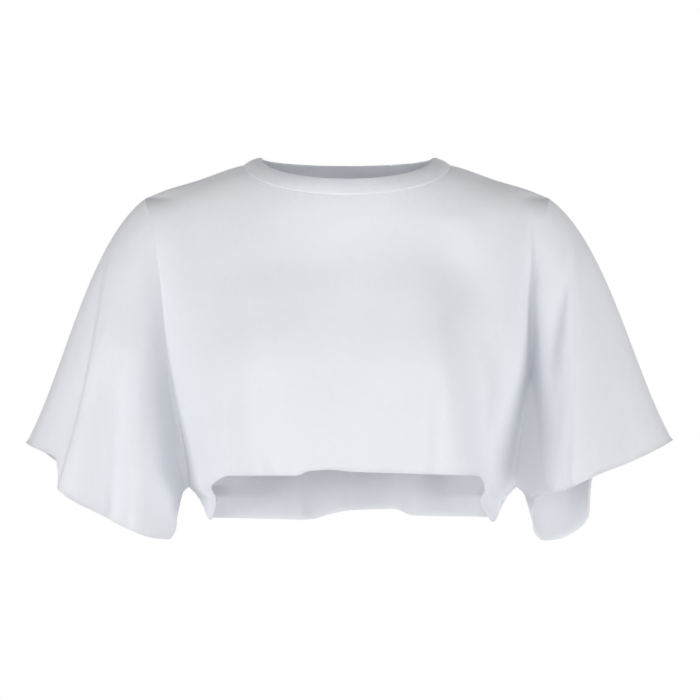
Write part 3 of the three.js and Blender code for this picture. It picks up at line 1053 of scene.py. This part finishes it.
@dataclass(frozen=True)
class KnitFinish:
    """A matte cotton knit: rows of loops, with the faint cloudiness of spun yarn.

    The loops are drawn coarser than real ones, so that they show.
    """

    name: str
    colour: str
    shade: str
    wale: float
    relief: float
    roughness: float = 0.88
    sheen: float = 0.12
    cloud: float = 9.0 * MM
    fuzz: float = 1.6 * MM

    def make(self) -> bpy.types.Material:
        """Makes the material."""
        material = bpy.data.materials.new(self.name)
        tree = empty_tree(material)
        cloth = add_node(tree, "ShaderNodeUVMap", uv_map="cloth").outputs["UV"]
        yarn = add_node(
            tree,
            "ShaderNodeTexNoise",
            {"Vector": cloth, "Scale": 1 / self.cloud, "Detail": 5.0, "Roughness": 0.62},
        )
        tint = add_node(
            tree,
            "ShaderNodeMix",
            {"Factor": yarn.outputs["Fac"], MIX_FIRST: linear(self.colour), MIX_SECOND: linear(self.shade)},
            data_type="RGBA",
        )
        loops = add_node(
            tree,
            "ShaderNodeTexWave",
            {
                "Vector": cloth,
                "Scale": WHOLE_BAND / self.wale,
                "Distortion": 1.2,
                "Detail": 2.0,
                "Detail Scale": 1.5,
            },
            wave_type="BANDS",
            bands_direction="X",
        )
        fuzz = add_node(
            tree,
            "ShaderNodeTexNoise",
            {"Vector": cloth, "Scale": 1 / self.fuzz, "Detail": 3.0, "Roughness": 0.7},
        )
        relief = combine(tree, "ADD", loops.outputs["Fac"], fuzz.outputs["Fac"])
        bump = add_node(tree, "ShaderNodeBump", {"Height": relief, "Strength": 0.35, "Distance": self.relief})
        cotton = add_node(
            tree,
            "ShaderNodeBsdfPrincipled",
            {
                "Base Color": tint.outputs[MIX_COLOUR],
                "Roughness": self.roughness,
                "Sheen Weight": self.sheen,
                "Sheen Roughness": 0.5,
                "Specular IOR Level": 0.25,
                "Normal": bump.outputs["Normal"],
            },
        )
        add_node(tree, "ShaderNodeOutputMaterial", {"Surface": cotton.outputs[0]})
        return material


# Combed single jersey, bleached and brushed by wear: a flat, soft white with hardly any lustre.
JERSEY = KnitFinish("combed_cotton_jersey", "#EEF0F5", "#E9EBF0", wale=1.1 * MM, relief=0.10 * MM)
# One-by-one rib, knitted from the same yarn: narrow upright ridges that catch a little light.
RIB = KnitFinish("one_by_one_cotton_rib", "#EDEFF4", "#E7E9EF", wale=2.4 * MM, relief=0.32 * MM)
# Spun polyester thread: a little smoother and whiter than the cotton beside it.
THREAD = KnitFinish("spun_sewing_thread", "#F1F3F7", "#ECEEF3", 0.5 * MM, 0.05 * MM, roughness=0.6)


@dataclass
class NeckStitching:
    """The row of lockstitches just below the neckband, laid along the seam by Geometry Nodes."""

    below_seam: float = 2.6 * MM
    stitch_length: float = 2.3 * MM
    pitch: float = 3.0 * MM
    thread: float = 0.42 * MM
    proud: float = 0.1 * MM
    rows_in: int = 4

    def path(self, panel: Panel, density: Density, cloth: float) -> Array:
        """Points along one panel's neck edge, from -X to +X, on the face of its cloth."""
        span = density.neck_span
        normals = panel.normals.reshape(panel.high, panel.wide, 3)[0, span][1:-1]
        edge, inner = (panel.grid[row, span][1:-1] for row in (0, self.rows_in))
        tangent = unit(np.gradient(edge, axis=0))
        aside = np.cross(normals, tangent)
        aside *= np.sign(np.sum(aside * (inner - edge), axis=1, keepdims=True))
        return edge + unit(aside) * self.below_seam + normals * (cloth / 2 + self.proud)

    def tree(self, thread: bpy.types.Material) -> bpy.types.NodeTree:
        """Makes the node tree that lays stitches along a line of edges.

        Args:
            thread: The thread's material.

        Returns:
            The tree.
        """
        tree = bpy.data.node_groups.new("stitch_row", "GeometryNodeTree")
        face = tree.interface
        face.new_socket("Geometry", in_out="INPUT", socket_type="NodeSocketGeometry")
        for name in ("Pitch", "Length", "Thread"):
            face.new_socket(name, in_out="INPUT", socket_type="NodeSocketFloat")
        face.new_socket("Geometry", in_out="OUTPUT", socket_type="NodeSocketGeometry")
        given = add_node(tree, "NodeGroupInput")
        line = add_node(tree, "GeometryNodeMeshToCurve", {"Mesh": given.outputs["Geometry"]})
        spaced = add_node(
            tree,
            "GeometryNodeResampleCurve",
            {"Curve": line.outputs[0], "Length": given.outputs["Pitch"]},
            mode="LENGTH",
        )
        ball = add_node(tree, "GeometryNodeMeshUVSphere", {"Segments": 8, "Rings": 6, "Radius": 0.5})
        size = add_node(
            tree,
            "ShaderNodeCombineXYZ",
            {"X": given.outputs["Length"], "Y": given.outputs["Thread"], "Z": given.outputs["Thread"]},
        )
        run = add_node(tree, "GeometryNodeInputTangent")
        turn = add_node(tree, "FunctionNodeAlignRotationToVector", {"Vector": run.outputs[0]}, axis="X")
        laid = add_node(
            tree,
            "GeometryNodeInstanceOnPoints",
            {
                "Points": spaced.outputs[0],
                "Instance": ball.outputs["Mesh"],
                "Rotation": turn.outputs[0],
                "Scale": size.outputs[0],
            },
        )
        solid = add_node(tree, "GeometryNodeRealizeInstances", {"Geometry": laid.outputs[0]})
        rounded = add_node(tree, "GeometryNodeSetShadeSmooth", {"Geometry": solid.outputs[0]})
        look = {"Geometry": rounded.outputs[0], "Material": thread}
        dressed = add_node(tree, "GeometryNodeSetMaterial", look)
        add_node(tree, "NodeGroupOutput", {"Geometry": dressed.outputs[0]})
        return tree

    def build(self, panels: Sequence[Panel], density: Density, cloth: float) -> bpy.types.Object:
        """Sews the row round the neck.

        Args:
            panels: The front and back panels.
            density: The panels' density.
            cloth: The thickness of the jersey.

        Returns:
            The stitches, as a plain mesh.
        """
        points: list[list[float]] = []
        edges: list[tuple[int, int]] = []
        for panel in panels:
            path = self.path(panel, density, cloth).tolist()
            edges += [(len(points) + i, len(points) + i + 1) for i in range(len(path) - 1)]
            points += path
        line = bpy.data.meshes.new("stitch_line")
        line.from_pydata(points, edges, [])
        maker = new_object("stitch_line", line)
        modifier = maker.modifiers.new("stitches", "NODES")
        modifier.node_group = self.tree(THREAD.make())
        sizes = {"Pitch": self.pitch, "Length": self.stitch_length, "Thread": self.thread}
        for socket in modifier.node_group.interface.items_tree:
            if socket.in_out == "INPUT" and socket.name in sizes:
                modifier[socket.identifier] = sizes[socket.name]
        graph = bpy.context.evaluated_depsgraph_get()
        mesh = bpy.data.meshes.new_from_object(maker.evaluated_get(graph))
        bpy.data.objects.remove(maker)
        mesh.uv_layers.new(name="cloth")
        return new_object("neck_stitches", mesh)


# ---- Studio ----
@dataclass
class Lamp:
    """A soft square lamp, which faces the middle of the shirt unless it has an aim of its own."""

    name: str
    place: tuple[float, float, float]
    size: float
    power: float
    aim: tuple[float, float, float] = MIDDLE
    spread: float = math.pi

    def build(self) -> None:
        """Hangs the lamp and turns it to its aim."""
        light = bpy.data.lights.new(self.name, "AREA")
        light.size = self.size
        light.energy = self.power
        light.spread = self.spread
        obj = new_object(self.name, light)
        obj.location = self.place
        obj.rotation_euler = (Vector(self.place) - Vector(self.aim)).to_track_quat("Z", "Y").to_euler()


@dataclass
class Studio:
    """A white studio with soft frontal light, and a level camera with a long lens."""

    view_width: float = 0.735
    camera_distance: float = 8.0
    sensor: float = 36.0
    floor_height: float = -1.4
    floor_size: float = 12.0
    floor_glow: float = 0.35
    floor_fade: float = 0.5
    ambient: float = 0.37
    lamps: tuple[Lamp, ...] = (
        Lamp("left", (-2.4, -1.9, -0.75), 1.4, 34.0),
        Lamp("right", (2.6, -1.7, -0.65), 1.4, 31.0),
        Lamp("front", (-0.2, -3.6, -0.05), 0.9, 16.0),
        Lamp("neck", (0.0, -1.7, 0.45), 0.2, 0.03, aim=(0.0, 0.0, 0.0), spread=math.radians(13)),
        Lamp("rear", (0.4, 3.0, -0.1), 2.4, 40.0),
    )

    def camera(self) -> None:
        """Sets the camera level with the middle of the shirt."""
        data = bpy.data.cameras.new("camera")
        data.sensor_width = self.sensor
        data.lens = self.sensor * self.camera_distance / self.view_width
        data.clip_end = 100.0
        obj = new_object("camera", data)
        x, _, z = MIDDLE
        obj.location = (x, -self.camera_distance, z)
        obj.rotation_euler = (math.pi / 2, 0.0, 0.0)
        bpy.context.scene.camera = obj

    @staticmethod
    def seen(tree: bpy.types.NodeTree) -> bpy.types.NodeSocket:
        """Adds the factor that is 1 for rays that show the background itself."""
        path = add_node(tree, "ShaderNodeLightPath")
        some = combine(tree, "MAXIMUM", path.outputs["Is Camera Ray"], path.outputs["Is Glossy Ray"])
        return combine(tree, "MAXIMUM", some, path.outputs["Is Transmission Ray"])

    def world(self) -> None:
        """Lights the room evenly, and shows it as white."""
        world = bpy.data.worlds.new("studio")
        bpy.context.scene.world = world
        tree = empty_tree(world)
        light = add_node(tree, "ShaderNodeBackground", {"Color": linear("#FFFFFF"), "Strength": self.ambient})
        shown = add_node(tree, "ShaderNodeBackground", {"Color": linear("#FFFFFF"), "Strength": 1.0})
        seen = self.seen(tree)
        both = add_node(tree, "ShaderNodeMixShader", {0: seen, 1: light.outputs[0], 2: shown.outputs[0]})
        add_node(tree, "ShaderNodeOutputWorld", {"Surface": both.outputs[0]})

    def floor(self) -> None:
        """Lays a plain white floor where the wearer would stand."""
        half = self.floor_size / 2
        mesh = bpy.data.meshes.new("floor")
        corners = [(-half, -half), (half, -half), (half, half), (-half, half)]
        mesh.from_pydata([(x, y, self.floor_height) for x, y in corners], [], [(0, 1, 2, 3)])
        material = bpy.data.materials.new("painted_studio_floor")
        tree = empty_tree(material)
        white = linear("#FFFFFF")
        paint = add_node(tree, "ShaderNodeBsdfDiffuse", {"Color": linear("#F2F2F2")})
        glow = add_node(tree, "ShaderNodeEmission", {"Color": white, "Strength": self.floor_glow})
        share = combine(tree, "MULTIPLY", self.seen(tree), self.floor_fade)
        both = add_node(tree, "ShaderNodeMixShader", {0: share, 1: paint.outputs[0], 2: glow.outputs[0]})
        add_node(tree, "ShaderNodeOutputMaterial", {"Surface": both.outputs[0]})
        mesh.materials.append(material)
        new_object("floor", mesh)

    def build(self) -> None:
        """Sets up camera, light, room and floor."""
        self.camera()
        self.world()
        self.floor()
        for lamp in self.lamps:
            lamp.build()
        bpy.context.scene.view_settings.view_transform = "Standard"


# ---- The shirt ----
@dataclass(frozen=True)
class Cut:
    """A piece's flat size before it was sewn, in metres and square metres."""

    width: float
    length: float
    area: float


@dataclass
class Shirt:
    """The whole shirt: its panels, neckband and stitching."""

    pattern: ShirtPattern = field(default_factory=ShirtPattern)
    tailor: Tailor = field(default_factory=Tailor)
    neckband: Neckband = field(default_factory=Neckband)
    stitching: NeckStitching = field(default_factory=NeckStitching)

    def hand_in(self, obj: bpy.types.Object, node: str) -> None:
        """Ties a cloth piece to the root, and hides the node that it stands for."""
        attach(obj, "root")
        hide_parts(node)
        log.info("%s: %d faces", obj.name, len(obj.data.polygons))

    def build(self) -> None:
        """Makes every piece and dresses it."""
        panels = self.pattern.panels()
        self.tailor.share_normals(panels)
        jersey = JERSEY.make()
        for panel in panels:
            obj = self.tailor.sew(panel)
            obj.data.materials.append(jersey)
            self.hand_in(obj, panel.name)
        front, back = panels[:2]
        band = self.neckband.build(front, back, self.pattern.density)
        band.data.materials.append(RIB.make())
        self.hand_in(band, "neckband")
        stitches = self.stitching.build((front, back), self.pattern.density, self.tailor.cloth)
        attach(stitches, "root")
        log.info("%s: %d faces", stitches.name, len(stitches.data.polygons))


def main() -> None:
    """Builds the studio and the shirt."""
    Studio().build()
    Shirt().build()


if __name__ == "__main__":
    main()
